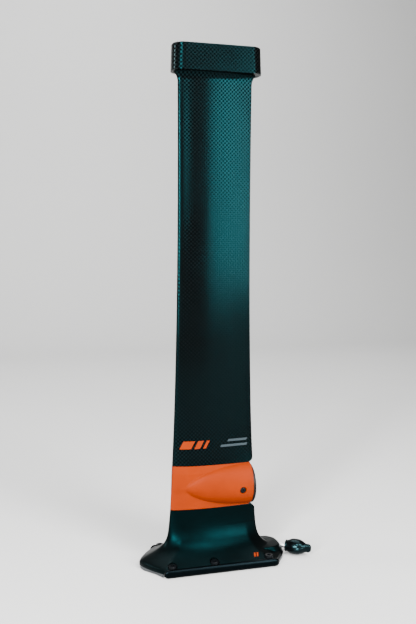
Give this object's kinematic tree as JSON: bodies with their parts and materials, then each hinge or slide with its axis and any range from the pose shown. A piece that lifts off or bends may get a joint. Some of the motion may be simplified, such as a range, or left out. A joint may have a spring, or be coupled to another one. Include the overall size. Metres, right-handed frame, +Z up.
{
  "type": "hydrofoil mast",
  "caption": "Carbon hydrofoil mast with a motor mount near its board end, a bolted base with side rails, a capped cable connector and a fuselage block.",
  "frame": {"origin": "centre of the board face, on the mast's centre plane, midway between the side rails' ends", "axes": "+Z up the mast from the board face to the fuselage seat, -X the leading edge, +X the trailing edge and the connector, Y across the blade"},
  "size_m": [0.2761, 0.113, 0.8],
  "materials": {
    "carbon": "clear-coated carbon fibre twill, satin",
    "carbon_spar": "uncoated unidirectional carbon",
    "foam": "closed-cell structural foam",
    "orange_plastic": "satin moulded orange",
    "black_plastic": "fine-grained moulded black",
    "fairing_black": "satin black",
    "rail_anodised": "satin dark grey anodised",
    "plate_alloy": "black anodised",
    "black_steel": "black-coated steel",
    "stainless": "turned",
    "brass": "turned",
    "connector_silver": "bright satin",
    "rubber_black": "smooth moulded",
    "cable_jacket": "matte jacket"
  },
  "bodies": {
    "mast": {"mast_blade": "carbon", "spar_web": "carbon_spar", "leading_core": "foam", "trailing_core": "foam", "fuselage_block": "carbon", "fuselage_inserts": "stainless", "mount_half_left": "orange_plastic", "mount_half_right": "orange_plastic", "motor_socket": "black_plastic", "contact_block": "black_plastic", "contact_pins": "brass", "blanking_cover": "black_plastic", "cover_seal": "rubber_black", "cover_inserts": "brass", "cover_screws": "black_steel", "motor_cable": "cable_jacket", "base_fairing": "fairing_black", "base_plate": "plate_alloy", "side_rail_left": "rail_anodised", "side_rail_right": "rail_anodised", "board_washers": "black_steel", "board_screws": "black_steel", "mast_inserts": "brass", "mast_screws": "stainless", "connector_shell": "connector_silver", "connector_gasket": "rubber_black", "connector_locknut": "stainless", "connector_insulator": "black_plastic", "connector_pins": "brass"},
    "dust_cap": {"dust_cap": "rubber_black"}
  },
  "joints": [
    {"name": "dust_cap_pull", "type": "slide", "parent": "mast", "child": "dust_cap", "axis": [0.809, -0.5878, 0], "range_m": [0, 0.03]}
  ]
}
